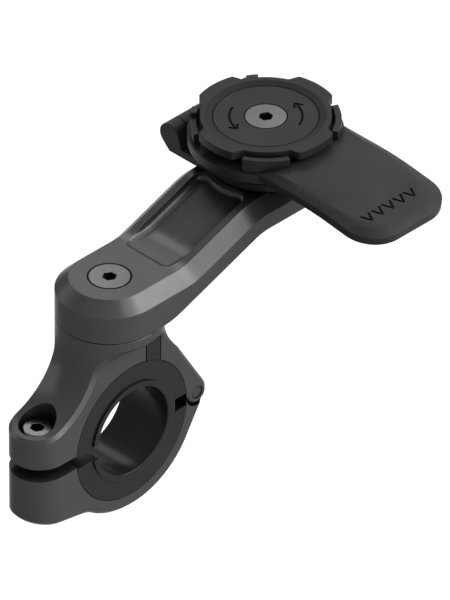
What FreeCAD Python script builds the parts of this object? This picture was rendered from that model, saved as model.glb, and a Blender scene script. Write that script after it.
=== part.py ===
import FreeCAD, Part
import math
import os

from FreeCAD import Vector

# Handlebar mount for a phone: a hinged bar clamp, a cranked arm and a quarter-turn head.
# Millimetres. The origin is the centre of the bar bore at the middle of the clamp's width.
# +X runs along the bar, +Y runs from the bore towards the clamp hinge and up the arm, +Z is up.

# Bar clamp
bar_d = 22.2            # handlebar held by the liner
bore_d = 35.0           # clamp bore that holds the liner
clamp_w = 14.0          # width of the clamp along the bar
clamp_wall = 3.6        # wall of the lower jaw below the bore
clamp_edge = 0.8        # chamfer on the outer edges of the plate
bore_fit = 0.06         # liner to bore, on the radius

# Neck on top of the clamp
neck_rise = 11.7        # neck top above the bore
neck_flare_r = 17.0     # concave flare from the neck down to the ear
neck_flare_drop = 2.9   # from the neck's top down to where the flare starts
ear_top_slope = 11.3    # degrees, ear top against the horizontal
undercut_drop = 8.6     # from the neck's top down to where the concave cut below it starts
joint_edge = 0.3        # small chamfer at the neck's top
turn_gap = 0.05         # between faces that turn on each other
seat_fit = 0.03         # between faces that only rest on each other

# Ears and clamp bolt
ear_reach = 4.9         # centre of the ears' round end, outside the bore
ear_gap_top = 1.6
ear_gap_bottom = -1.8
ear_bottom_rise = 3.9   # underside of the lower ear's end, above the bore's lowest point
ear_bottom_slope = 9.8  # degrees
jaw_blend_r = 8.0       # concave blend between the lower ear and the round jaw
bolt_reach = 5.6        # bolt's axis, outside the bore
bolt_d = 4.0
bolt_root_d = 3.14
bolt_head_d = 7.0
bolt_head_h = 4.0
bolt_head_edge = 0.3
bolt_head_z = 9.0       # top of the bolt head
bolt_len = 12.0
bolt_key = 3.0          # hexagon across flats
bolt_key_depth = 2.0
counterbore_d = 8.8
hole_fit = 0.25         # clearance hole, on the radius

# Clamp hinge
hinge_reach = 3.5       # pin's axis, outside the bore
knuckle_r = 3.2
hinge_pin_d = 3.0
hinge_middle_w = 6.4    # middle knuckle, on the lower jaw
hinge_gap = 0.3         # running gap round the knuckles
side_gap = 0.15         # running gap beside the middle knuckle
pin_fit = 0.04          # pin to hole, on the radius
pin_recess = 0.15       # pin ends below the plate's faces

# Liner
liner_edge = 0.2        # chamfer at the mouth of the bar bore
liner_lip_d = 25.2      # raised ring round the mouth
liner_lip = 0.45        # how far the ring stands out from the clamp's faces
liner_split_top = 1.7
liner_split_bottom = -2.2
liner_web = 3.64        # living hinge left outside the notch
liner_notch_top = 1.55
liner_notch_bottom = -1.9
key_y = 7.0             # middle of the anti-turn key
key_w = 4.25
key_rise = 4.1          # top of the key, above the bore
key_slot_gap = 0.3

# Arm
arm_reach = 50.0        # between the two screw axes
arm_w = 25.0
arm_low_t = 10.1        # thickness at the clamp, with the turning gap
arm_high_t = 7.2        # thickness at the head
arm_rise = 7.4          # head end's top above the clamp end's top
arm_edge = 3.1          # broad chamfer round the top
arm_slope = 19.5        # degrees
arm_top_bend_y = 14.15      # where the sloped top would meet the low flat
arm_bottom_bend_y = 7.5     # where the sloped underside would meet the low flat
arm_inner_r = 12.5      # bends on the inside of the crank
arm_outer_r = 19.0      # bends on the outside of the crank
pocket_half_w = 7.5
pocket_y = 10.6         # lower end of the pocket
pocket_shallow = 0.35   # depth at the lower end
pocket_shift = 5.4      # the floor's bend lies this much further up than the top's
pocket_end_gap = 0.6    # pocket end to the head's foot, on the radius
pocket_corner_r = 2.6
pocket_floor_r = 1.5    # concave blend from the floor into the walls

# Countersunk screws of the arm and the head
screw_d = 5.0
screw_root_d = 4.2
screw_head_d = 9.46
screw_seat_d = 9.92
screw_land = 0.3        # straight rim of the screw head
screw_key = 3.0
screw_key_depth = 2.2
arm_screw_len = 16.0
head_screw_len = 18.0

# Friction washers at the two turning joints
washer_d = 14.0
washer_t = 0.6

# Head base
foot_d = 26.0
foot_t = 1.9
hub_d = 19.2
hub_rise = 8.8          # hub top above the arm
lug_outer = 13.0        # half distance over the lugs
lug_t = 3.4
lug_gap = 0.2
pivot_x = -18.0
pivot_rise = 4.3        # lever's pivot above the arm
pivot_r = 3.0
pivot_pin_d = 2.6
pivot_blind = 1.2       # wall left at the closed end of the pin's hole
lug_heel = 1.0          # how far the lug widens towards the foot
lug_root_x = -6.0
barrel_gap = 0.5
tongue_t = 1.3          # floor between the lugs
spigot_d = 10.0
spigot_flats = 8.4      # flats that stop the lock disc turning
spigot_h = 1.2

# Lever with its collar
collar_d = 35.8
collar_rise = 5.7       # underside above the arm
collar_t = 2.4
collar_bore_d = 21.0
web_h = 1.6             # depth of the web from the barrel into the collar
tab_inner_r = 15.75
tab_outer_r = 17.25
tab_half_angle = 18.5
tab_h = 3.4             # above the collar
tab_gap = 0.5           # from the tabs in to the clear space round the disc
tab_turns = (-45, 45)       # degrees, tabs beside the lever plate
rear_tab_turns = (135, 225)
rear_tab_h = 2.6
post_h = 3.7                # short post at the hinge side of each rear tab
post_middle = 10.5          # degrees from the tab's middle
post_half_angle = 4.5
lever_tip_x = 47.5
lever_half_w = 13.7
lever_edge_rise = 0.2       # upper outer edge of the plate above the collar, where it is level
lever_drop = 2.57           # upper outer edge at the tip, below the level stretch
lever_bend_x = 28.0         # middle of the bend
lever_bend_r = 80.0
lever_bend_steps = 4
lever_rim = 1.8             # height of the plate's edge face
lever_bevel_h = 1.2
lever_bevel_tip = 2.5       # width of the bevel at the tip's end
lever_bevel_side = 3.3      # width of the bevel at the tip's sides
lever_bevel_root = 1.2      # width of the bevel at the collar
lever_corner_r = 8.3
lever_ramp_x = 9.5          # the top rises from the collar to the plate from here
lever_ramp_run = 6.0
lever_ramp_r = 6.0

# Lock disc and its centre plate
lobe_r = 17.0
notch_r = 15.0
lobe_half_angle = 18.5
lobe_flank_angle = 6.0
lobe_round = 0.8
disc_rise = 12.5        # top of the disc above the arm
disc_t = 2.0
ramp_outer_d = 27.8
plate_d = 24.1
plate_drop = 0.45       # top of the plate below the disc's top
plate_t = 2.0
plate_gap = 0.12
disc_boss_d = 24.4

# Return spring
spring_d = 22.6         # outside
spring_wire = 0.9
spring_turns = 2.0

# Places that follow from the sizes above: the clamp from its bore, the rest upwards from the clamp
half_w = clamp_w / 2
bore_r = bore_d / 2
arm_r = arm_w / 2
neck_r = arm_r
jaw_r = bore_r + clamp_wall
ear_y = bore_r + ear_reach
bolt_y = bore_r + bolt_reach
hinge_y = bore_r + hinge_reach
ear_bottom_z = ear_bottom_rise - bore_r
key_top = bore_r + key_rise
neck_top = bore_r + neck_rise
neck_flare_z = neck_top - neck_flare_drop
undercut_z = neck_top - undercut_drop
arm_low_top = neck_top + arm_low_t
arm_high_top = arm_low_top + arm_rise
arm_high_bottom = arm_high_top - arm_high_t
hub_top = arm_high_top + hub_rise
pivot_z = arm_high_top + pivot_rise
collar_bottom = arm_high_top + collar_rise
collar_top = collar_bottom + collar_t
lever_edge_z = collar_top + lever_edge_rise
lever_tip_z = lever_edge_z - lever_drop
disc_top = arm_high_top + disc_rise
plate_top = disc_top - plate_drop
head_axis = Vector(0, arm_reach, 0)
far = 60.0              # larger than any half size of the clamp


def box(x0, x1, y0, y1, z0, z1):
    return Part.makeBox(x1 - x0, y1 - y0, z1 - z0, Vector(x0, y0, z0))


def cylinder_z(r, z0, z1, at=Vector()):
    return Part.makeCylinder(r, z1 - z0, Vector(at.x, at.y, z0))


def cylinder_x(r, x0, x1, y, z):
    return Part.makeCylinder(r, x1 - x0, Vector(x0, y, z), Vector(1, 0, 0))


def cylinder_y(r, y0, y1, x, z):
    return Part.makeCylinder(r, y1 - y0, Vector(x, y0, z), Vector(0, 1, 0))


def rounded_face(corners, to_space):
    """Face of a closed outline. A corner is (a, b) or (a, b, r) with its fillet radius."""
    edges = []
    starts = []
    ends = []
    arcs = []
    count = len(corners)
    for i, corner in enumerate(corners):
        a = Vector(corner[0], corner[1], 0)
        r = corner[2] if len(corner) > 2 else 0
        if r == 0:
            starts.append(a)
            ends.append(a)
            arcs.append(None)
            continue
        before = Vector(corners[i - 1][0], corners[i - 1][1], 0)
        after = Vector(corners[(i + 1) % count][0], corners[(i + 1) % count][1], 0)
        u = (before - a).normalize()
        v = (after - a).normalize()
        half = u.getAngle(v) / 2
        middle = (u + v).normalize()
        starts.append(a + u * (r / math.tan(half)))
        ends.append(a + v * (r / math.tan(half)))
        arcs.append(a + middle * (r / math.sin(half) - r))
    for i in range(count):
        if arcs[i] is not None:
            through = (to_space(starts[i]), to_space(arcs[i]), to_space(ends[i]))
            edges.append(Part.Arc(*through).toShape())
        following = (i + 1) % count
        if (starts[following] - ends[i]).Length > 1e-6:
            edges.append(Part.LineSegment(to_space(ends[i]), to_space(starts[following])).toShape())
    return Part.Face(Part.Wire(Part.__sortEdges__(edges)))


def across_x(corners, half):
    """Outline in Y and Z, extruded to both sides of X = 0."""
    face = rounded_face(corners, lambda p: Vector(-half, p.x, p.y))
    return face.extrude(Vector(2 * half, 0, 0))


def across_y(corners, y0, y1):
    """Outline in X and Z, extruded from y0 to y1."""
    face = rounded_face(corners, lambda p: Vector(p.x, y0, p.y))
    return face.extrude(Vector(0, y1 - y0, 0))


def along_z(corners, z0, z1):
    """Outline in X and Y, extruded from z0 to z1."""
    face = rounded_face(corners, lambda p: Vector(p.x, p.y, z0))
    return face.extrude(Vector(0, 0, z1 - z0))


def revolved(corners, at=Vector()):
    """Outline in radius and Z, turned round the vertical axis through a point."""
    face = rounded_face(corners, lambda p: Vector(at.x + p.x, at.y, p.y))
    return face.revolve(at, Vector(0, 0, 1), 360)


def hexagon(across_flats, z0, z1, at):
    r = across_flats / math.sqrt(3)
    turns = [math.radians(60 * i) for i in range(6)]
    return along_z([(at.x + r * math.cos(t), at.y + r * math.sin(t)) for t in turns], z0, z1)


def edges_where(shape, wanted):
    return [edge for edge in shape.Edges if wanted(edge)]


def samples(edge):
    """Three points inside an edge."""
    span = edge.LastParameter - edge.FirstParameter
    return [edge.valueAt(edge.FirstParameter + span * share) for share in (0.2, 0.5, 0.8)]


def screw_seat(top, at=Vector()):
    """Countersink and clearance hole for one of the two large screws."""
    r = screw_seat_d / 2
    hole_r = screw_d / 2 + hole_fit
    cone_h = r - hole_r
    rim = cylinder_z(r, top - screw_land, top + screw_land, at)
    cone = Part.makeCone(hole_r, r, cone_h, Vector(at.x, at.y, top - screw_land - cone_h))
    return rim.fuse(cone).fuse(cylinder_z(hole_r, top - far / 2, top, at))


def countersunk_screw(top, length, grip, at=Vector()):
    """Countersunk screw with its root diameter where it is threaded, below the grip."""
    r = screw_head_d / 2
    shank_r = screw_d / 2
    rim_z = top - screw_land - (screw_seat_d - screw_head_d) / 2 + seat_fit
    cone_z = rim_z - (r - shank_r)
    head = cylinder_z(r, rim_z, top, at).fuse(
        Part.makeCone(shank_r, r, rim_z - cone_z, Vector(at.x, at.y, cone_z)))
    shank = cylinder_z(shank_r, grip, cone_z, at)
    thread = cylinder_z(screw_root_d / 2, top - length, grip, at)
    key = hexagon(screw_key, top - screw_key_depth, top + 1, at)
    return head.fuse(shank).fuse(thread).cut(key).removeSplitter()


def washer(z, at=Vector()):
    ring = cylinder_z(washer_d / 2, z - washer_t / 2 + seat_fit, z + washer_t / 2 - seat_fit, at)
    return ring.cut(cylinder_z(screw_d / 2 + hole_fit, z - washer_t, z + washer_t, at))


def washer_recess(z, at=Vector()):
    return cylinder_z(washer_d / 2 + hole_fit, z - washer_t / 2, z + washer_t / 2, at)


# Direction square to the line that touches both the round jaw and the hinge knuckle
flank_y = (jaw_r - knuckle_r) / hinge_y
flank_z = math.sqrt(1 - flank_y ** 2)


def beyond_plate():
    """What lies outside the clamp's plate: each side with its undercut, and the ears' round end."""
    outside = []
    undercut_r = neck_r - half_w
    for side in (-1, 1):
        x0, x1 = sorted((side * half_w, side * far))
        outside.append(box(x0, x1, -far, far, -far, undercut_z))
        outside.append(cylinder_y(undercut_r, -far, far, side * neck_r, undercut_z))
    end = box(-far, far, -far, -ear_y, -far, undercut_z)
    outside.append(end.cut(cylinder_z(half_w, -far, undercut_z, Vector(0, -ear_y, 0))))
    return outside


def on_plate_side(p):
    """True on the clamp's flat faces and on the round end of the ears."""
    if p.y > -ear_y:
        return abs(abs(p.x) - half_w) < 1e-4
    return abs(math.hypot(p.x, p.y + ear_y) - half_w) < 1e-4


def outer_edges(shape, low, high):
    """Edges round the plate's sides between two heights, without the upright ones."""
    def wanted(edge):
        points = samples(edge)
        upright = math.hypot(points[0].x - points[2].x, points[0].y - points[2].y) < 1e-3
        return not upright and all(on_plate_side(p) and low < p.z < high for p in points)
    return edges_where(shape, wanted)


def upper_blank():
    """Neck with its flare and the ear's top, cut to the front outline and to the plate."""
    slope = math.radians(ear_top_slope)
    corner_z = neck_flare_z - neck_flare_r * math.tan((math.pi / 2 - slope) / 2)
    shoulder_z = (jaw_r - flank_y * neck_r) / flank_z
    flared = revolved([
        (0, neck_top),
        (neck_r, neck_top),
        (neck_r, corner_z, neck_flare_r),
        (far, corner_z - (far - neck_r) * math.tan(slope)),
        (far, -far),
        (0, -far),
    ])
    outline = across_x([
        (-far, ear_gap_top),
        (0, ear_gap_top),
        (0, 0),
        (hinge_y, 0),
        (hinge_y + knuckle_r * flank_y, knuckle_r * flank_z),
        (neck_r, shoulder_z, neck_flare_r),
        (neck_r, neck_top),
        (-far, neck_top),
    ], neck_r)
    return flared.common(outline).cut(beyond_plate())


def clamp_upper():
    blank = upper_blank()
    blank = blank.makeChamfer(clamp_edge, outer_edges(blank, ear_gap_top + clamp_edge, undercut_z))
    rim = edges_where(blank, lambda e: all(abs(p.z - neck_top) < 1e-4 for p in samples(e)))
    body = blank.makeChamfer(joint_edge, rim)
    knuckles = cylinder_x(knuckle_r, -half_w, half_w, hinge_y, 0)
    ends = edges_where(knuckles, lambda e: all(abs(abs(p.x) - half_w) < 1e-4 for p in samples(e)))
    slot = hinge_middle_w / 2 + side_gap
    body = body.fuse(knuckles.makeChamfer(clamp_edge, ends))
    bolt_at = Vector(0, -bolt_y, 0)
    thread_end = arm_low_top - arm_screw_len - 1
    return body.cut([
        cylinder_x(bore_r, -far, far, 0, 0),
        cylinder_x(knuckle_r + hinge_gap, -slot, slot, hinge_y, 0),
        cylinder_x(hinge_pin_d / 2 + pin_fit, -far, far, hinge_y, 0),
        box(-far, far, key_y - key_w / 2 - key_slot_gap, key_y + key_w / 2 + key_slot_gap,
            0, key_top + key_slot_gap),
        cylinder_z(counterbore_d / 2, bolt_head_z - bolt_head_h, far, bolt_at),
        cylinder_z(bolt_d / 2 + hole_fit, 0, far, bolt_at),
        cylinder_z(screw_d / 2, thread_end, far),
        washer_recess(neck_top),
    ]).removeSplitter()


def jaw_outline():
    """Front outline of the lower jaw in Y and Z, before the bore is cut."""
    slope = math.radians(ear_bottom_slope)
    along = Vector(math.cos(slope), -math.sin(slope), 0)
    square = Vector(math.sin(slope), math.cos(slope), 0)
    end = Vector(-ear_y - half_w, ear_bottom_z, 0)
    offset = end - square * jaw_blend_r
    reach = jaw_r + jaw_blend_r
    half_b = offset.dot(along)
    run = -half_b - math.sqrt(half_b ** 2 - offset.dot(offset) + reach ** 2)
    centre = offset + along * run
    on_line = centre + square * jaw_blend_r
    on_jaw = centre * (jaw_r / reach)
    towards_jaw = (on_jaw - centre).normalize()
    blend_middle = centre + (square + towards_jaw).normalize() * jaw_blend_r
    lowest = Vector(jaw_r * math.sin(0.1), -jaw_r * math.cos(0.1), 0)
    flank_start = Vector(jaw_r * flank_y, -jaw_r * flank_z, 0)
    flank_end = Vector(hinge_y + knuckle_r * flank_y, -knuckle_r * flank_z, 0)
    path = [flank_end, Vector(hinge_y, 0, 0), Vector(0, 0, 0), Vector(0, ear_gap_bottom, 0),
            Vector(end.x, ear_gap_bottom, 0), end, on_line]

    def in_space(p):
        return Vector(-half_w, p.x, p.y)

    edges = [Part.LineSegment(in_space(a), in_space(b)).toShape() for a, b in zip(path, path[1:])]
    edges.append(Part.Arc(in_space(on_line), in_space(blend_middle), in_space(on_jaw)).toShape())
    edges.append(Part.Arc(in_space(on_jaw), in_space(lowest), in_space(flank_start)).toShape())
    edges.append(Part.LineSegment(in_space(flank_start), in_space(flank_end)).toShape())
    return Part.Face(Part.Wire(edges))


def clamp_lower():
    blank = jaw_outline().extrude(Vector(clamp_w, 0, 0)).cut(beyond_plate())
    blank = blank.makeChamfer(clamp_edge, outer_edges(blank, -far, ear_gap_bottom - clamp_edge))
    middle = hinge_middle_w / 2
    body = blank.fuse(cylinder_x(knuckle_r, -middle, middle, hinge_y, 0))
    return body.cut([
        cylinder_x(bore_r, -far, far, 0, 0),
        cylinder_x(knuckle_r + hinge_gap, -far, -middle, hinge_y, 0),
        cylinder_x(knuckle_r + hinge_gap, middle, far, hinge_y, 0),
        cylinder_x(hinge_pin_d / 2 + pin_fit, -far, far, hinge_y, 0),
        cylinder_z(bolt_d / 2, -far, 0, Vector(0, -bolt_y, 0)),
    ]).removeSplitter()


def clamp_hinge_pin():
    return cylinder_x(hinge_pin_d / 2, pin_recess - half_w, half_w - pin_recess, hinge_y, 0)


def clamp_bolt():
    at = Vector(0, -bolt_y, 0)
    seat = bolt_head_z - bolt_head_h
    grip = ear_gap_top + bolt_d / 4
    tip = seat - bolt_len
    point_h = (bolt_d - bolt_root_d) / 2
    head = cylinder_z(bolt_head_d / 2, seat, bolt_head_z, at)
    head = head.makeChamfer(bolt_head_edge, edges_where(
        head, lambda e: all(abs(p.z - bolt_head_z) < 1e-4 for p in samples(e))))
    shank = cylinder_z(bolt_d / 2, grip, seat, at)
    thread = cylinder_z(bolt_root_d / 2, tip + point_h, grip, at)
    point = Part.makeCone(bolt_root_d / 2 - point_h, bolt_root_d / 2, point_h, Vector(0, -bolt_y, tip))
    key = hexagon(bolt_key, bolt_head_z - bolt_key_depth, bolt_head_z + 1, at)
    return head.fuse([shank, thread, point]).cut(key).removeSplitter()


def bar_liner():
    outer_r = bore_r - bore_fit
    bar_r = bar_d / 2
    ring = cylinder_x(outer_r, -half_w, half_w, 0, 0)
    key = box(-half_w, half_w, key_y - key_w / 2, key_y + key_w / 2, bar_r, key_top)
    lip_x = half_w + liner_lip
    lip = cylinder_x(liner_lip_d / 2, -lip_x, lip_x, 0, 0)
    ring = ring.fuse([key, lip]).removeSplitter()
    cuts = [cylinder_x(bar_r, -far, far, 0, 0)]
    for side in (-1, 1):
        mouth = Part.makeCone(bar_r + liner_edge, bar_r, liner_edge,
                              Vector(side * lip_x, 0, 0), Vector(-side, 0, 0))
        cuts.append(mouth)
    cuts.append(box(-far, far, -far, 0, liner_split_bottom, liner_split_top))
    cuts.append(box(-far, far, outer_r - liner_web, far, liner_notch_bottom, liner_notch_top))
    return ring.cut(cuts)


def obround(z0, z1):
    """Plan of the arm: round ends about the two screw axes."""
    straight = box(-arm_r, arm_r, 0, arm_reach, z0, z1)
    return straight.fuse([cylinder_z(arm_r, z0, z1), cylinder_z(arm_r, z0, z1, head_axis)])


def arm_pocket():
    """Recess in the arm's sloped top, with a rounded floor and an end that follows the head's foot."""
    rise = math.tan(math.radians(arm_slope))
    floor_z = arm_low_top - pocket_shallow
    bend_y = arm_top_bend_y + pocket_shift
    over = arm_reach * rise
    floor = across_x([
        (0, floor_z),
        (bend_y, floor_z, arm_inner_r),
        (arm_reach, floor_z + (arm_reach - bend_y) * rise),
        (arm_reach, floor_z + over),
        (0, floor_z + over),
    ], pocket_half_w)
    plan = along_z([
        (-pocket_half_w, pocket_y, pocket_corner_r),
        (pocket_half_w, pocket_y, pocket_corner_r),
        (pocket_half_w, arm_reach),
        (-pocket_half_w, arm_reach),
    ], floor_z, floor_z + over)
    plan = plan.cut(cylinder_z(foot_d / 2 + pocket_end_gap, 0, far * 2, head_axis))
    corners = edges_where(plan, lambda e: abs(samples(e)[0].z - samples(e)[2].z) > 1
                          and samples(e)[1].y > arm_reach / 2)
    plan = plan.makeFillet(pocket_corner_r, corners)

    def floor_rim(edge):
        """Edges where the floor meets a wall: not upright, not on top and not across the floor."""
        first, middle, last = samples(edge)
        upright = math.hypot(first.x - last.x, first.y - last.y) < 1e-3
        on_top = middle.z > floor_z + over - 1e-3
        across = plan.isInside(middle + Vector(0, 0, 1), 1e-3, False)
        return not (upright or on_top or across)

    recess = plan.common(floor).removeSplitter()
    return recess.makeFillet(pocket_floor_r, edges_where(recess, floor_rim))


def arm():
    rise = math.tan(math.radians(arm_slope))
    bottom = neck_top + turn_gap
    bottom_end_y = arm_bottom_bend_y + (arm_high_bottom - bottom) / rise
    top_end_y = arm_top_bend_y + (arm_high_top - arm_low_top) / rise
    profile = across_x([
        (-arm_r, bottom),
        (arm_bottom_bend_y, bottom, arm_outer_r),
        (bottom_end_y, arm_high_bottom, arm_inner_r),
        (arm_reach + arm_r, arm_high_bottom),
        (arm_reach + arm_r, arm_high_top),
        (top_end_y, arm_high_top, arm_outer_r),
        (arm_top_bend_y, arm_low_top, arm_inner_r),
        (-arm_r, arm_low_top),
    ], arm_r)
    body = profile.common(obround(0, far)).removeSplitter()

    low = (bottom + arm_low_top) / 2
    high = (arm_high_bottom + arm_high_top) / 2

    def top_edge(edge):
        """Edges round the top. Those that cross the arm or stand upright keep one value of Y."""
        first, middle, last = samples(edge)
        share = min(max((middle.y - arm_bottom_bend_y) / (top_end_y - arm_bottom_bend_y), 0), 1)
        runs = abs(first.y - middle.y) > 1e-3 or abs(last.y - middle.y) > 1e-3
        return runs and middle.z > low + (high - low) * share

    body = body.makeChamfer(arm_edge, edges_where(body, top_edge))
    return body.cut([
        arm_pocket(),
        screw_seat(arm_low_top),
        washer_recess(neck_top),
        washer_recess(arm_high_top, head_axis),
        cylinder_z(screw_d / 2, 0, far, head_axis),
    ])


def lug_outline():
    """Side outline of a hinge lug in X and Z: round at the pivot, sloping down to the foot."""
    diagonal = pivot_r / math.sqrt(2)
    bottom = arm_high_top + turn_gap
    toe_x = pivot_x - diagonal + (pivot_z - diagonal - bottom)
    heel_x = pivot_x + pivot_r + lug_heel
    path = [
        Vector(pivot_x - diagonal, pivot_z - diagonal, 0),
        Vector(toe_x, bottom, 0),
        Vector(lug_root_x, bottom, 0),
        Vector(lug_root_x, bottom + foot_t, 0),
        Vector(heel_x, bottom + foot_t, 0),
        Vector(pivot_x + pivot_r, pivot_z, 0),
    ]

    def in_space(p):
        return Vector(p.x, 0, p.y)

    edges = [Part.LineSegment(in_space(a), in_space(b)).toShape() for a, b in zip(path, path[1:])]
    crown = Vector(pivot_x + diagonal, 0, pivot_z + diagonal)
    edges.append(Part.Arc(in_space(path[-1]), crown, in_space(path[0])).toShape())
    return Part.Face(Part.Wire(edges))


def pivot_hole():
    """Blind hole for the lever's pin, open on the +Y side."""
    r = pivot_pin_d / 2 + pin_fit
    return cylinder_y(r, arm_reach - lug_outer + pivot_blind, far * 2, pivot_x, pivot_z)


def head_base():
    bottom = arm_high_top + turn_gap
    foot = cylinder_z(foot_d / 2, bottom, bottom + foot_t, head_axis)
    hub = cylinder_z(hub_d / 2, bottom, hub_top, head_axis)
    spigot = cylinder_z(spigot_d / 2, hub_top, hub_top + spigot_h, head_axis)
    flats = box(-spigot_flats / 2, spigot_flats / 2, 0, far * 2, hub_top, hub_top + spigot_h)
    barrel_end = pivot_x + pivot_r + barrel_gap
    tongue = box(barrel_end, 0, arm_reach - lug_outer, arm_reach + lug_outer, bottom, bottom + tongue_t)
    lug = lug_outline().extrude(Vector(0, lug_t, 0))
    lugs = [lug.translated(Vector(0, arm_reach - lug_outer, 0)),
            lug.translated(Vector(0, arm_reach + lug_outer - lug_t, 0))]
    body = foot.fuse([hub, spigot.common(flats), tongue] + lugs)
    return body.cut([
        pivot_hole(),
        washer_recess(arm_high_top, head_axis),
        screw_seat(plate_top, head_axis),
    ]).removeSplitter()


lever_slope = math.atan((lever_edge_z - lever_tip_z) / (lever_tip_x - lever_bend_x))


def lever_edge_height(x):
    """Height of the plate's upper outer edge: level, a large bend, then a straight slope."""
    reach = lever_bend_r * math.tan(lever_slope / 2)
    start = lever_bend_x - reach
    end = start + lever_bend_r * math.sin(lever_slope)
    if x <= start:
        return lever_edge_z
    if x >= end:
        return lever_tip_z + (lever_tip_x - x) * math.tan(lever_slope)
    return lever_edge_z - lever_bend_r + math.sqrt(lever_bend_r ** 2 - (x - start) ** 2)


def lever_top_half(x):
    """Half width of the plate's flat top, inside the bevels."""
    share = x / (lever_tip_x - lever_bevel_tip)
    return lever_half_w - lever_bevel_root - (lever_bevel_side - lever_bevel_root) * share


def lever_section(x):
    """Upright section across the plate: rim faces, bevels and the flat top."""
    z = lever_edge_height(x)
    top = lever_top_half(x)
    points = [(-lever_half_w, z - lever_rim), (-lever_half_w, z), (-top, z + lever_bevel_h),
              (top, z + lever_bevel_h), (lever_half_w, z), (lever_half_w, z - lever_rim)]
    return Part.makePolygon([Vector(x, y, h) for y, h in points + points[:1]])


def lever_tip(start):
    """Sloped end of the plate with its rounded corners, made level and then tilted."""
    scale = 1 / math.cos(lever_slope)
    length = (lever_tip_x - start) * scale
    top_end = length - lever_bevel_tip
    top = lever_half_w - lever_bevel_side
    back = 2 * lever_bend_r * math.tan(lever_slope / 2)
    grow = (lever_bevel_side - lever_bevel_root) / (lever_tip_x - lever_bevel_tip)
    back_top = top + (top_end + back) * grow
    rim = [(-back, -lever_half_w), (length, -lever_half_w, lever_corner_r),
           (length, lever_half_w, lever_corner_r), (-back, lever_half_w)]
    flat_r = lever_corner_r - (lever_bevel_tip + lever_bevel_side) / 2
    flat = [(-back, -back_top), (top_end, -top, flat_r), (top_end, top, flat_r), (-back, back_top)]
    low = rounded_face(rim, lambda p: Vector(p.x, p.y, 0))
    high = rounded_face(flat, lambda p: Vector(p.x, p.y, lever_bevel_h / scale))
    slab = low.extrude(Vector(0, 0, -lever_rim / scale))
    tip = slab.fuse(Part.makeLoft([low.OuterWire, high.OuterWire], True, True)).removeSplitter()
    tip.rotate(Vector(), Vector(0, 1, 0), math.degrees(lever_slope))
    tip = tip.translated(Vector(start, 0, lever_edge_height(start)))
    return tip.common(box(start, far, -far, far, 0, far * 2))


def lever_plate():
    """Plate of the lever: level beside the collar, bent down, then straight to its tip."""
    reach = lever_bend_r * math.tan(lever_slope / 2)
    start = lever_bend_x - reach
    end = start + lever_bend_r * math.sin(lever_slope)
    stations = [0] + [start + (end - start) * i / lever_bend_steps for i in range(lever_bend_steps + 1)]
    root = Part.makeLoft([lever_section(x) for x in stations], True, True)
    return root.fuse(lever_tip(end)).translated(head_axis)


def ring_sector(inner_r, outer_r, turn, half_angle, z0, z1):
    """Part of a ring about the head's axis, centred on a direction in degrees."""
    wedge_x = far * math.cos(math.radians(half_angle))
    wedge_y = far * math.sin(math.radians(half_angle))
    wedge = along_z([(0, 0), (wedge_x, -wedge_y), (wedge_x, wedge_y)], z0, z1)
    wedge.rotate(Vector(), Vector(0, 0, 1), turn)
    ring = cylinder_z(outer_r, z0, z1).cut(cylinder_z(inner_r, z0, z1))
    return ring.common(wedge).translated(head_axis)


def lever_tabs():
    """Tabs that rise between the lobes of the lock disc, with a post on each rear one."""
    tabs = [ring_sector(tab_inner_r, tab_outer_r, turn, tab_half_angle,
                        collar_bottom, collar_top + tab_h)
            for turn in tab_turns]
    for turn in rear_tab_turns:
        tabs.append(ring_sector(tab_inner_r, tab_outer_r, turn, tab_half_angle,
                                collar_bottom, collar_top + rear_tab_h))
        towards_hinge = math.copysign(post_middle, 180 - turn)
        tabs.append(ring_sector(tab_inner_r, tab_outer_r, turn + towards_hinge, post_half_angle,
                                collar_bottom, collar_top + post_h))
    return tabs


def lever():
    """Lever plate, collar, locking tabs and hinge barrel, moulded in one piece."""
    collar = cylinder_z(collar_d / 2, collar_bottom, collar_top, head_axis)
    over = lever_edge_z + lever_bevel_h + 1
    ramp = across_y([
        (-far, collar_top),
        (lever_ramp_x, collar_top, lever_ramp_r),
        (lever_ramp_x + lever_ramp_run, lever_edge_z + lever_bevel_h),
        (lever_ramp_x + lever_ramp_run, over),
        (-far, over),
    ], 0, arm_reach * 2)
    plate = lever_plate().cut([ramp, cylinder_z(tab_inner_r - tab_gap, collar_top, over, head_axis)])
    barrel_half = lug_outer - lug_t - lug_gap
    barrel = cylinder_y(pivot_r, arm_reach - barrel_half, arm_reach + barrel_half, pivot_x, pivot_z)
    web_end = -spring_d / 2 - barrel_gap
    web = box(pivot_x, web_end, arm_reach - barrel_half, arm_reach + barrel_half,
              collar_bottom - web_h, collar_bottom + web_h / 2)
    body = collar.fuse([plate, barrel, web] + lever_tabs())
    return body.cut([
        cylinder_z(collar_bore_d / 2, 0, far * 2, head_axis),
        cylinder_y(pivot_pin_d / 2 + pin_fit, 0, far * 2, pivot_x, pivot_z),
    ]).removeSplitter()


def lever_hinge_pin():
    start = arm_reach - lug_outer + pivot_blind
    return cylinder_y(pivot_pin_d / 2, start + pin_recess, arm_reach + lug_outer - pin_recess,
                      pivot_x, pivot_z)


def lever_spring():
    """Coil of square wire round the hub, between the foot and the collar."""
    seat = arm_high_top + turn_gap + foot_t
    low = seat + spring_wire / 2
    height = collar_bottom - spring_wire / 2 - low
    r = (spring_d - spring_wire) / 2
    helix = Part.makeHelix(height / spring_turns, height, r)
    half = spring_wire / 2
    corners = [(-half, -half), (half, -half), (half, half), (-half, half), (-half, -half)]
    section = Part.makePolygon([Vector(r + a, 0, b) for a, b in corners])
    coil = Part.Wire(helix).makePipeShell([section], True, True)
    return coil.translated(head_axis + Vector(0, 0, low))


def polar(r, degrees):
    return Vector(r * math.cos(math.radians(degrees)), r * math.sin(math.radians(degrees)), 0)


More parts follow.
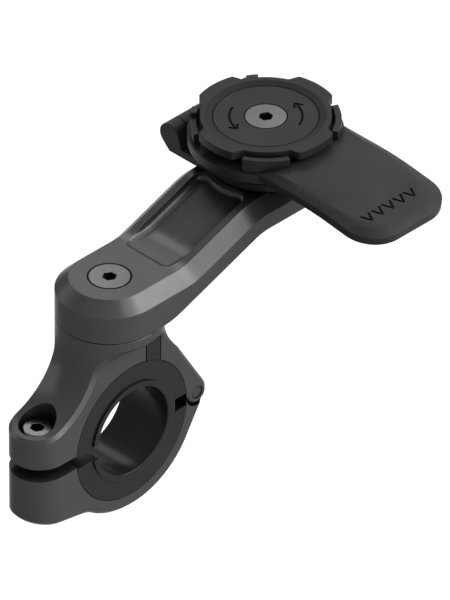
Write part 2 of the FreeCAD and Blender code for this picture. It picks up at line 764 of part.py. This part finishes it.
def lock_disc_plan():
    """Four lobes on the X and Y directions, with rounded corners."""
    edges = []
    for turn in (0, 90, 180, 270):
        a = turn - lobe_half_angle
        b = turn + lobe_half_angle
        c = b + lobe_flank_angle
        d = turn + 90 - lobe_half_angle - lobe_flank_angle
        e = turn + 90 - lobe_half_angle
        edges.append(Part.Arc(polar(lobe_r, a), polar(lobe_r, turn), polar(lobe_r, b)).toShape())
        edges.append(Part.LineSegment(polar(lobe_r, b), polar(notch_r, c)).toShape())
        edges.append(Part.Arc(polar(notch_r, c), polar(notch_r, turn + 45), polar(notch_r, d)).toShape())
        edges.append(Part.LineSegment(polar(notch_r, d), polar(lobe_r, e)).toShape())
    return Part.Face(Part.Wire(Part.__sortEdges__(edges)))


def lock_disc():
    under = disc_top - disc_t
    flange = lock_disc_plan().extrude(Vector(0, 0, disc_t)).translated(Vector(0, arm_reach, under))
    upright = edges_where(flange, lambda e: abs(samples(e)[0].z - samples(e)[2].z) > 0.5)
    flange = flange.makeFillet(lobe_round, upright)
    boss = cylinder_z(disc_boss_d / 2, hub_top + seat_fit, under, head_axis)
    recess_r = plate_d / 2 + plate_gap
    plate_bottom = plate_top - plate_t
    ramp = Part.makeCone(recess_r, ramp_outer_d / 2, disc_top - plate_top,
                         head_axis + Vector(0, 0, plate_top))
    keyed = cylinder_z(spigot_d / 2 + plate_gap, hub_top, plate_bottom, head_axis).common(
        box(-spigot_flats / 2 - plate_gap, spigot_flats / 2 + plate_gap, 0, far * 2, hub_top, plate_bottom))
    return flange.fuse(boss).cut([
        ramp,
        cylinder_z(recess_r, plate_bottom, plate_top, head_axis),
        keyed,
    ]).removeSplitter()


def centre_plate():
    plate = cylinder_z(plate_d / 2, plate_top - plate_t + seat_fit, plate_top, head_axis)
    return plate.cut(screw_seat(plate_top, head_axis))


parts = {
    "clamp_upper": clamp_upper(),
    "clamp_lower": clamp_lower(),
    "clamp_hinge_pin": clamp_hinge_pin(),
    "clamp_bolt": clamp_bolt(),
    "bar_liner": bar_liner(),
    "arm": arm(),
    "arm_screw": countersunk_screw(arm_low_top, arm_screw_len, neck_top),
    "arm_washer": washer(neck_top),
    "head_base": head_base(),
    "head_washer": washer(arm_high_top, head_axis),
    "lever": lever(),
    "lever_hinge_pin": lever_hinge_pin(),
    "lever_spring": lever_spring(),
    "lock_disc": lock_disc(),
    "centre_plate": centre_plate(),
    "head_screw": countersunk_screw(plate_top, head_screw_len, arm_high_top, head_axis),
}

os.makedirs("parts", exist_ok=True)
for name, shape in parts.items():
    shape.exportStep(f"parts/{name}.step")
    print(name, len(shape.Solids), round(shape.Volume, 1))
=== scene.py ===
import math

import bmesh
import bpy
from mathutils import Matrix, Vector


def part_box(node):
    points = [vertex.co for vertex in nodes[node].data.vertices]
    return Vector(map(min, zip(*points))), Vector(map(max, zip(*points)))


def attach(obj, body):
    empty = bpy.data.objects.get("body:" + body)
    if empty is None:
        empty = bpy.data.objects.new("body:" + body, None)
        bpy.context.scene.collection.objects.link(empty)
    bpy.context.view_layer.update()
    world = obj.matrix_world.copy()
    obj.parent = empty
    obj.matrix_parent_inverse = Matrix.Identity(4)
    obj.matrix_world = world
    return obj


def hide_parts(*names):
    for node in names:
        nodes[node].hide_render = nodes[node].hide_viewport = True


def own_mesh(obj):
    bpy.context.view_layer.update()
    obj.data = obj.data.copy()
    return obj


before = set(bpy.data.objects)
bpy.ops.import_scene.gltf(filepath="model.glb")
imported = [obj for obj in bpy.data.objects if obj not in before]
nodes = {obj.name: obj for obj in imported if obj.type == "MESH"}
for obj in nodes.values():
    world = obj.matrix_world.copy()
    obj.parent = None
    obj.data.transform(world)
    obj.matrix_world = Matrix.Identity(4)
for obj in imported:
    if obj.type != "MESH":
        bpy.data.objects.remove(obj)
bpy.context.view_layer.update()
MM = 0.001

# The photograph is an isometric view. Its target is the point of the part at the picture's centre.
PHOTO_LONG_SIDE = 136.36 * MM       # the picture's longer side, measured at the target
PHOTO_TARGET = Vector((5.0, 31.91, 19.23)) * MM
PHOTO_BACK = Vector((1, -1, 1)).normalized()
LENS = 1250
SENSOR = 36

# Plain soft light, where a brightness of 1 looks white
WORLD_LEVEL = 0.22
FLOOR_Z = -0.16                     # well below the part, which a handlebar holds up
FLOOR_HALF = 3
FLOOR_SHADE = 0.22
FLOOR_GLOW = 0.84

# Each lamp's direction from the target, its distance and size in metres, and its brightness
LAMPS = {
    "key": ((1.0, 1.0, 1.0), 0.7, 0.42, 9.5),           # mirrored in the arm's chamfer where it is level
    "slope": ((0.74, 0.14, 0.66), 0.75, 0.42, 4.0),     # mirrored in the chamfer where the arm rises
    "top": ((0.05, 0.6, 0.9), 0.8, 0.8, 2.4),           # on faces that look up
    "back": ((-0.58, 0.4, 0.71), 0.8, 0.24, 4.5),       # mirrored in the bore's lower wall
    "right": ((1.0, -0.1, 0.2), 0.8, 0.9, 2.6),         # on faces at the part's right
    "left": ((-1.0, -0.5, 0.2), 0.8, 0.5, 1.6),         # on faces at the part's left
}

# Finishes, with lengths in millimetres. Openness is 1 in the open and 0 in a closed gap: painted shade makes
# a colour darkest below the first number and leaves it alone above the second.
NOISE_RANGE = (0.3, 0.7)            # nearly all of a noise's values lie in it
BLOTCH_PER_MM = 0.12
ROUGH_SPREAD = 0.05
SEAM_REACH = 0.9
SEAM_OPENNESS = (0.5, 0.9)
GAP_OPENNESS = (0.3, 0.8)
GAP_SAMPLES = 8
EDGE_SAMPLES = 6
RING_SOFT = 0.06

# Rings of painted shade, for the shadow in the seams where pieces meet and on the disc's sloped ramp. Each
# has the directions across it, its centre, its inner and outer radius, how far along its axis it begins, all
# in millimetres, and what is left of the colour in it.
UPRIGHT = (1, 1, 0)
ALONG_BAR = (0, 1, 1)
CLAMP_AT = (0, 0, 0)
HEAD_AT = (0, 50, 0)
HINGE_AT = (0, 21, 0)
ARM_SCREW_RING = (UPRIGHT, CLAMP_AT, 4.85, 5.2, 36, 0.1)
LINER_RING = (ALONG_BAR, CLAMP_AT, 17.36, 17.64, 6.85, 0.2)
PIN_RING = (ALONG_BAR, HINGE_AT, 1.35, 1.65, 6.75, 0.25)
# Painted shade on the disc's sloped ramp, darker as the slope faces the light less
DISC_RAMP = (UPRIGHT, HEAD_AT, 12.3, 13.9, 58.2, 0.35)
PLATE_RING = (UPRIGHT, HEAD_AT, 11.9, 12.35, 58.2, 0.1)
HEAD_SCREW_RING = (UPRIGHT, HEAD_AT, 4.8, 5.1, 58.2, 0.1)

# Engraved marks. The lever's top slopes down to its tip, where its bevel rises from the tip's edge.
WELD = 1e-7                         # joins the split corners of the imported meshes
SHARP_ANGLE = math.radians(28)
ENGRAVE_DEPTH = 0.25 * MM
STROKE = 0.55 * MM
LEVER_SLOPE = math.radians(7.508)
LEVER_TIP_EDGE = 52.43 * MM
LEVER_BEVEL = 1.2 * MM
PRESS_X = 40.4 * MM
PRESS_ASIDE = 1.0 * MM

# The bolt's thread, M4
THREAD_START = 0.9 * MM             # above the bolt's end
THREAD_END = 2.3 * MM               # its height in the row frame
THREAD_ROOT_R = 1.56 * MM
THREAD_CREST_R = 1.95 * MM
THREAD_PITCH = 0.7 * MM

SPRING_TURNS = 2.0
SPRING_WIRE = 0.9 * MM
STEPS_PER_TURN = 64


def new_material(name):
    material = bpy.data.materials.new(name)
    material.use_nodes = True
    return material, material.node_tree


def noise(tree, coords, per_mm, detail):
    """Noise whose features repeat about per_mm times in a millimetre."""
    node = tree.nodes.new("ShaderNodeTexNoise")
    node.inputs["Scale"].default_value = per_mm / MM
    node.inputs["Detail"].default_value = detail
    node.inputs["Roughness"].default_value = 0.55
    tree.links.new(coords.outputs["Object"], node.inputs["Vector"])
    return node.outputs["Fac"]


def spread(tree, source, low, high, source_range=NOISE_RANGE):
    """Maps a value from its range on to the one from low to high, and holds it there."""
    node = tree.nodes.new("ShaderNodeMapRange")
    node.inputs["From Min"].default_value = source_range[0]
    node.inputs["From Max"].default_value = source_range[1]
    node.inputs["To Min"].default_value = low
    node.inputs["To Max"].default_value = high
    tree.links.new(source, node.inputs["Value"])
    return node.outputs["Result"]


def maths(tree, operation, first, second):
    node = tree.nodes.new("ShaderNodeMath")
    node.operation = operation
    tree.links.new(first, node.inputs[0])
    tree.links.new(second, node.inputs[1])
    return node.outputs[0]


def vector_maths(tree, operation, source, value=(0, 0, 0)):
    node = tree.nodes.new("ShaderNodeVectorMath")
    node.operation = operation
    node.inputs[1].default_value = value
    tree.links.new(source, node.inputs[0])
    return node


def darkened(tree, colour, share):
    """A colour multiplied by a number between 0 and 1."""
    mix = tree.nodes.new("ShaderNodeMix")
    mix.data_type = "RGBA"
    mix.blend_type = "MULTIPLY"
    mix.inputs["Factor"].default_value = 1.0
    tree.links.new(colour, mix.inputs["A"])
    tree.links.new(share, mix.inputs["B"])
    return mix.outputs["Result"]


def painted_crevice_shade(tree, colour, reach, shade, openness):
    """Paints shade into a colour where other surfaces are near, within a reach in millimetres."""
    near = tree.nodes.new("ShaderNodeAmbientOcclusion")
    near.samples = GAP_SAMPLES
    near.inputs["Distance"].default_value = reach * MM
    return darkened(tree, colour, spread(tree, near.outputs["AO"], shade, 1, openness))


def distance_from(tree, coords, centre, directions):
    """How far a point is from a centre in millimetres, counting only some of the three directions."""
    place = Vector(centre) * MM
    offset = vector_maths(tree, "SUBTRACT", coords.outputs["Object"], place)
    counted = vector_maths(tree, "MULTIPLY", offset.outputs["Vector"], directions)
    return vector_maths(tree, "LENGTH", counted.outputs["Vector"]).outputs["Value"]


def step(tree, distance, at, before=0, after=1):
    """One number up to a distance in millimetres and another past it, with a short slope between them."""
    return spread(tree, distance, before, after, ((at - RING_SOFT) * MM, (at + RING_SOFT) * MM))


def painted_shade_ring(tree, coords, colour, across, centre, inner, outer, beyond, shade):
    """Paints a ring of shade into a colour between two radii, beyond a distance along the ring's axis."""
    along = [1 - counts for counts in across]
    radius = distance_from(tree, coords, centre, across)
    height = distance_from(tree, coords, (0, 0, 0), along)
    between = maths(tree, "MULTIPLY", step(tree, radius, inner), step(tree, radius, outer, 1, 0))
    place = maths(tree, "MULTIPLY", between, step(tree, height, beyond))
    return darkened(tree, colour, spread(tree, place, 1, shade, (0, 1)))


def grey(value):
    """A neutral colour, a trace cooler than grey, from a level of 0 to 255 as it shows on screen."""
    share = value / 255
    linear = share / 12.92 if share <= 0.04045 else ((share + 0.055) / 1.055) ** 2.4
    return (linear, linear, linear * 1.03, 1)


def surface(name, dark, pale, rough, grain_per_mm, grain_height, edge, metallic=0.0, specular=0.5,
            grazing=1.0, gap_reach=6, gap_shade=0.45, seam_shade=0.05, rings=()):
    """A finish with slow drifts of colour, fine grain in its bump and gloss, rounded edges and painted shade
    in seams.

    dark and pale are grey levels. grain_height, edge and gap_reach are in millimetres. specular and grazing
    say how much it mirrors face on and at a low angle. gap_shade and seam_shade are what is left of the
    colour under the painted shade in a closed gap and in a seam. rings are rings of painted shade.
    """
    material, tree = new_material(name)
    shader = tree.nodes["Principled BSDF"]
    shader.inputs["Metallic"].default_value = metallic
    shader.inputs["Specular IOR Level"].default_value = specular
    shader.inputs["Specular Tint"].default_value = (grazing, grazing, grazing, 1)

    coords = tree.nodes.new("ShaderNodeTexCoord")
    blotch = noise(tree, coords, BLOTCH_PER_MM, detail=3.0)
    ramp = tree.nodes.new("ShaderNodeMix")
    ramp.data_type = "RGBA"
    ramp.inputs["A"].default_value = grey(dark)
    ramp.inputs["B"].default_value = grey(pale)
    tree.links.new(spread(tree, blotch, 0, 1), ramp.inputs["Factor"])
    # Painted shade: the colour darkens in seams and deep gaps, where little light falls
    colour = painted_crevice_shade(tree, ramp.outputs["Result"], SEAM_REACH, seam_shade, SEAM_OPENNESS)
    colour = painted_crevice_shade(tree, colour, gap_reach, gap_shade, GAP_OPENNESS)
    # Painted shade rings, at seams and on the disc's ramp
    for ring in rings:
        colour = painted_shade_ring(tree, coords, colour, *ring)
    tree.links.new(colour, shader.inputs["Base Color"])

    grain = noise(tree, coords, grain_per_mm, detail=4.0)
    gloss = spread(tree, grain, rough - ROUGH_SPREAD, rough + ROUGH_SPREAD)
    tree.links.new(gloss, shader.inputs["Roughness"])
    rounded = tree.nodes.new("ShaderNodeBevel")
    rounded.samples = EDGE_SAMPLES
    rounded.inputs["Radius"].default_value = edge * MM
    bump = tree.nodes.new("ShaderNodeBump")
    bump.inputs["Strength"].default_value = 1.0
    bump.inputs["Distance"].default_value = grain_height * MM
    tree.links.new(grain, bump.inputs["Height"])
    tree.links.new(rounded.outputs["Normal"], bump.inputs["Normal"])
    tree.links.new(bump.outputs["Normal"], shader.inputs["Normal"])
    return material


def smooth_by_angle():
    """Node group that gives a mesh fresh normals, sharp where its faces turn by more than an angle."""
    group = bpy.data.node_groups.new("smooth_by_angle", "GeometryNodeTree")
    group.interface.new_socket("Geometry", in_out="INPUT", socket_type="NodeSocketGeometry")
    group.interface.new_socket("Geometry", in_out="OUTPUT", socket_type="NodeSocketGeometry")
    source = group.nodes.new("NodeGroupInput")
    result = group.nodes.new("NodeGroupOutput")
    angle = group.nodes.new("GeometryNodeInputMeshEdgeAngle")
    sharp = group.nodes.new("FunctionNodeCompare")
    sharp.operation = "GREATER_THAN"
    sharp.inputs["B"].default_value = SHARP_ANGLE
    fresh = group.nodes.new("GeometryNodeSetMeshNormal")
    fresh.mode = "SHARPNESS"
    group.links.new(angle.outputs["Unsigned Angle"], sharp.inputs["A"])
    group.links.new(source.outputs["Geometry"], fresh.inputs["Mesh"])
    fresh.inputs["Remove Custom"].default_value = True
    group.links.new(sharp.outputs["Result"], fresh.inputs["Edge Sharpness"])
    group.links.new(fresh.outputs["Mesh"], result.inputs["Geometry"])
    return group


def piece_from(bm, name, material):
    """An object made of a bmesh, which is freed."""
    mesh = bpy.data.meshes.new(name)
    bm.to_mesh(mesh)
    bm.free()
    mesh.materials.append(material)
    piece = bpy.data.objects.new(name, mesh)
    bpy.context.scene.collection.objects.link(piece)
    return piece


def ribbon(points, width, low, high, bm):
    """A flat bar of the given width along points in X and Y, from one height to another."""
    left = []
    right = []
    last = len(points) - 1
    for i, (x, y) in enumerate(points):
        x0, y0 = points[max(i - 1, 0)]
        x1, y1 = points[min(i + 1, last)]
        along = Vector((x1 - x0, y1 - y0)).normalized()
        left.append((x - along.y * width / 2, y + along.x * width / 2))
        right.append((x + along.y * width / 2, y - along.x * width / 2))
    outline = left + right[::-1]
    bottom = [bm.verts.new((x, y, low)) for x, y in outline]
    top = [bm.verts.new((x, y, high)) for x, y in outline]
    count = len(outline)
    for i in range(last):
        bm.faces.new([bottom[i], bottom[i + 1], bottom[count - 2 - i], bottom[count - 1 - i]][::-1])
        bm.faces.new([top[i], top[i + 1], top[count - 2 - i], top[count - 1 - i]])
    for i in range(count):
        following = (i + 1) % count
        bm.faces.new([bottom[i], bottom[following], top[following], top[i]])


def arc(radius, start, end, steps):
    """Points on an arc round the origin, between two angles in degrees."""
    turns = [math.radians(start + (end - start) * i / steps) for i in range(steps + 1)]
    return [(radius * math.cos(turn), radius * math.sin(turn)) for turn in turns]


def twist_strokes():
    """Two curved arrows round the screw, for the quarter turn that locks a case."""
    radius = 8.3 * MM
    sweep = 62
    barb_length = 1.5 * MM
    barb_width = 0.8 * barb_length
    overlap = 0.3 * STROKE
    strokes = []
    for start in (20, 200):
        shaft = arc(radius, start, start + sweep, 20)
        strokes.append(shaft)
        tip = Vector(shaft[-1])
        along = (tip - Vector(shaft[-3])).normalized()
        side = Vector((-along.y, along.x))
        for sign in (-1, 1):
            barb = tip - along * barb_length + side * sign * barb_width
            strokes.append([tuple(tip + along * overlap), tuple(barb)])
    return strokes


def press_strokes():
    """A row of small arrowheads that point at the lever's tip, for where the thumb presses."""
    half = 1.25 * MM
    depth = 1.3 * MM
    spacing = 3.4 * MM
    strokes = []
    for i in range(-2, 3):
        for sign in (-1, 1):
            strokes.append([(-depth, i * spacing + sign * half), (depth, i * spacing)])
    return strokes


def cutter(name, strokes, place):
    """A hidden solid made of flat strokes, half sunk in the surface that it is taken out of."""
    bm = bmesh.new()
    for points in strokes:
        ribbon(points, STROKE, -ENGRAVE_DEPTH, ENGRAVE_DEPTH * 2, bm)
    bmesh.ops.recalc_face_normals(bm, faces=bm.faces)
    piece = piece_from(bm, name, GROOVE)
    piece.data.transform(place)
    piece.hide_render = True
    piece.hide_viewport = True
    return piece


def engrave(node_name, body, tool):
    """Cuts marks into a node, whose mesh is first joined up and afterwards gets fresh normals.

    The hidden cutter rides on the node's body, so that the marks stay where they are at every pose.
    """
    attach(tool, body)
    node = nodes[node_name]
    node.data.materials.append(GROOVE)
    weld = node.modifiers.new("weld", "WELD")
    weld.merge_threshold = WELD
    cut = node.modifiers.new("marks", "BOOLEAN")
    cut.operation = "DIFFERENCE"
    cut.solver = "EXACT"
    cut.use_self = True
    cut.object = tool
    cut.material_mode = "TRANSFER"
    smooth = node.modifiers.new("smooth", "NODES")
    smooth.node_group = SMOOTH


def helix(name, at, low, pitch, turns, section_at, material):
    """A solid swept round an upright axis. section_at(turn) gives the section's radii and heights there."""
    bm = bmesh.new()
    rings = []
    for i in range(int(turns * STEPS_PER_TURN) + 1):
        turn = i / STEPS_PER_TURN
        angle = 2 * math.pi * turn
        z = low + pitch * turn
        rings.append([bm.verts.new((at.x + r * math.cos(angle), at.y + r * math.sin(angle), z + rise))
                      for r, rise in section_at(turn)])
    for ring, following in zip(rings, rings[1:]):
        for i in range(len(ring)):
            after = (i + 1) % len(ring)
            bm.faces.new([ring[i], following[i], following[after], ring[after]])
    bm.faces.new(rings[0])
    bm.faces.new(rings[-1][::-1])
    bmesh.ops.recalc_face_normals(bm, faces=bm.faces)
    return piece_from(bm, name, material)


def thread(name, at, low, high, material):
    """A helical ridge round an upright shank, tapered at both ends, with its foot sunk in the shank."""
    turns = (high - low) / THREAD_PITCH
    foot = 0.42 * THREAD_PITCH
    crest = 0.07 * THREAD_PITCH
    sunk_r = THREAD_ROOT_R - 0.1 * MM

    def section(turn):
        taper = min(1.0, turn, turns - turn)
        out_r = THREAD_ROOT_R + (THREAD_CREST_R - THREAD_ROOT_R) * taper
        return [(THREAD_ROOT_R, -foot), (out_r, -crest), (out_r, crest), (THREAD_ROOT_R, foot), (sunk_r, 0.0)]

    return helix(name, at, low, THREAD_PITCH, turns, section, material)


def spring(name, low, high, material):
    """A coil of square wire with eased corners that fills a box."""
    half = SPRING_WIRE / 2
    eased = half * 0.55
    r = (high.x - low.x) / 2 - half
    section = [(r + a, b) for a, b in ((-half, -eased), (-eased, -half), (eased, -half), (half, -eased),
                                       (half, eased), (eased, half), (-eased, half), (-half, eased))]
    pitch = (high.z - low.z - SPRING_WIRE) / SPRING_TURNS
    return helix(name, (low + high) / 2, low.z + half, pitch, SPRING_TURNS, lambda turn: section, material)


def make_camera():
    data = bpy.data.cameras.new("camera")
    data.sensor_width = SENSOR
    data.lens = LENS
    data.clip_start = 0.1
    data.clip_end = 30
    camera = bpy.data.objects.new("camera", data)
    distance = PHOTO_LONG_SIDE * LENS / SENSOR
    camera.rotation_mode = "QUATERNION"
    camera.rotation_quaternion = (-PHOTO_BACK).to_track_quat("-Z", "Y")
    camera.location = PHOTO_TARGET + PHOTO_BACK * distance
    bpy.context.scene.collection.objects.link(camera)
    bpy.context.scene.camera = camera


def softbox(name, direction, distance, size, brightness):
    """A square lamp that faces the part from a direction, and looks this bright."""
    data = bpy.data.lights.new(name, "AREA")
    data.shape = "SQUARE"
    data.size = size
    data.energy = brightness * math.pi * size ** 2
    lamp = bpy.data.objects.new(name, data)
    towards = Vector(direction).normalized()
    lamp.location = PHOTO_TARGET + towards * distance
    lamp.rotation_mode = "QUATERNION"
    lamp.rotation_quaternion = towards.to_track_quat("Z", "Y")
    lamp.visible_camera = False
    bpy.context.scene.collection.objects.link(lamp)


def seen_instead(tree, plain, seen, output):
    """Shows one shader to the camera, also in reflections and through glass, and another to other light."""
    path = tree.nodes.new("ShaderNodeLightPath")
    share = path.outputs["Is Camera Ray"]
    for name in ("Is Glossy Ray", "Is Transmission Ray"):
        share = maths(tree, "MAXIMUM", share, path.outputs[name])
    mix = tree.nodes.new("ShaderNodeMixShader")
    tree.links.new(share, mix.inputs["Fac"])
    tree.links.new(plain, mix.inputs[1])
    tree.links.new(seen, mix.inputs[2])
    tree.links.new(mix.outputs[0], tree.nodes[output].inputs["Surface"])


def make_world():
    """White where it is seen, and a plain low light otherwise."""
    world = bpy.data.worlds.new("studio")
    bpy.context.scene.world = world
    world.use_nodes = True
    tree = world.node_tree
    plain = tree.nodes["Background"]
    plain.inputs["Color"].default_value = (1, 1, 1, 1)
    plain.inputs["Strength"].default_value = WORLD_LEVEL
    white = tree.nodes.new("ShaderNodeBackground")
    white.inputs["Color"].default_value = (1, 1, 1, 1)
    seen_instead(tree, plain.outputs[0], white.outputs[0], "World Output")


def make_floor():
    """A pale floor that takes the part's shadow and glows only where it is seen."""
    material, tree = new_material("floor")
    shader = tree.nodes["Principled BSDF"]
    shader.inputs["Base Color"].default_value = (FLOOR_SHADE, FLOOR_SHADE, FLOOR_SHADE, 1)
    shader.inputs["Roughness"].default_value = 0.9
    shader.inputs["Specular IOR Level"].default_value = 0.0
    glow = tree.nodes.new("ShaderNodeEmission")
    glow.inputs["Strength"].default_value = FLOOR_GLOW
    total = tree.nodes.new("ShaderNodeAddShader")
    tree.links.new(shader.outputs[0], total.inputs[0])
    tree.links.new(glow.outputs[0], total.inputs[1])
    seen_instead(tree, shader.outputs[0], total.outputs[0], "Material Output")
    bm = bmesh.new()
    bmesh.ops.create_grid(bm, x_segments=1, y_segments=1, size=FLOOR_HALF)
    floor = piece_from(bm, "floor", material)
    floor.location.z = FLOOR_Z


# Every finish below has painted shade in its seams and gaps, and some have rings of painted shade
ANODISED = surface("anodised_aluminium", 62, 66, rough=0.26, grain_per_mm=9, grain_height=0.003, edge=0.12,
                   metallic=0.5, specular=0.05, grazing=0.4, gap_reach=12, gap_shade=0.2,
                   rings=(ARM_SCREW_RING, LINER_RING, PIN_RING))
NYLON = surface("filled_nylon", 25, 30, rough=0.46, grain_per_mm=7, grain_height=0.010, edge=0.4,
                specular=0.13, grazing=0.7, gap_shade=0.85, seam_shade=0.15)
DISC_NYLON = surface("disc_nylon", 23, 28, rough=0.42, grain_per_mm=7, grain_height=0.008, edge=0.35,
                     specular=0.11, grazing=0.7, gap_shade=0.85, seam_shade=0.15,
                     rings=(DISC_RAMP, PLATE_RING, HEAD_SCREW_RING))
LINER = surface("liner_plastic", 22, 26, rough=0.22, grain_per_mm=6, grain_height=0.004, edge=0.2,
                specular=0.08, gap_reach=8, gap_shade=0.3, seam_shade=0.7, rings=(LINER_RING,))
STEEL = surface("screw_steel", 74, 84, rough=0.4, grain_per_mm=8, grain_height=0.003, edge=0.15,
                metallic=1.0)
BOLT_STEEL = surface("bolt_steel", 80, 92, rough=0.26, grain_per_mm=8, grain_height=0.003, edge=0.15,
                     metallic=1.0)
PIN_STEEL = surface("pin_steel", 54, 60, rough=0.34, grain_per_mm=8, grain_height=0.003, edge=0.15,
                    metallic=1.0, rings=(PIN_RING,))
GROOVE = surface("groove", 12, 16, rough=0.7, grain_per_mm=7, grain_height=0.006, edge=0.05, specular=0.05)
FINISHES = {
    "clamp_upper": ANODISED,
    "clamp_lower": ANODISED,
    "arm": ANODISED,
    "head_base": NYLON,
    "lever": NYLON,
    "lock_disc": DISC_NYLON,
    "centre_plate": DISC_NYLON,
    "bar_liner": LINER,
    "arm_washer": LINER,
    "head_washer": LINER,
    "arm_screw": STEEL,
    "head_screw": STEEL,
    "clamp_bolt": BOLT_STEEL,
    "clamp_hinge_pin": PIN_STEEL,
    "lever_hinge_pin": PIN_STEEL,
    "lever_spring": PIN_STEEL,
}
for node_name, node in nodes.items():
    node.data.materials.clear()
    node.data.materials.append(FINISHES[node_name])

SMOOTH = smooth_by_angle()
plate_low, plate_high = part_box("centre_plate")
head_xy = (plate_low + plate_high) / 2
on_plate = Matrix.Translation((head_xy.x, head_xy.y, plate_high.z))
engrave("centre_plate", "head", cutter("twist_cutter", twist_strokes(), on_plate))

lever_tip_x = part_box("lever")[1].x
press_z = LEVER_TIP_EDGE + LEVER_BEVEL + (lever_tip_x - PRESS_X) * math.tan(LEVER_SLOPE)
press_at = Vector((PRESS_X, head_xy.y - PRESS_ASIDE, press_z))
on_lever = Matrix.Translation(press_at) @ Matrix.Rotation(LEVER_SLOPE, 4, "Y")
engrave("lever", "lever", cutter("press_cutter", press_strokes(), on_lever))

bolt_low, bolt_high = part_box("clamp_bolt")
bolt_xy = (bolt_low + bolt_high) / 2
bolt_thread = thread("bolt_thread", bolt_xy, bolt_low.z + THREAD_START, THREAD_END, BOLT_STEEL)
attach(bolt_thread, "bolt")

# The return spring under the lever's collar, which flattens as the lever is pressed; this coil rides on the
# head and keeps its shape
spring_low, spring_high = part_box("lever_spring")
spring_coil = spring("spring_coil", spring_low, spring_high, PIN_STEEL)
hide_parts("lever_spring")
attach(spring_coil, "head")
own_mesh(spring_coil)

make_camera()
for lamp_name, (direction, distance, size, brightness) in LAMPS.items():
    softbox(lamp_name, direction, distance, size, brightness)
make_world()
make_floor()
bpy.context.scene.view_settings.view_transform = "Standard"
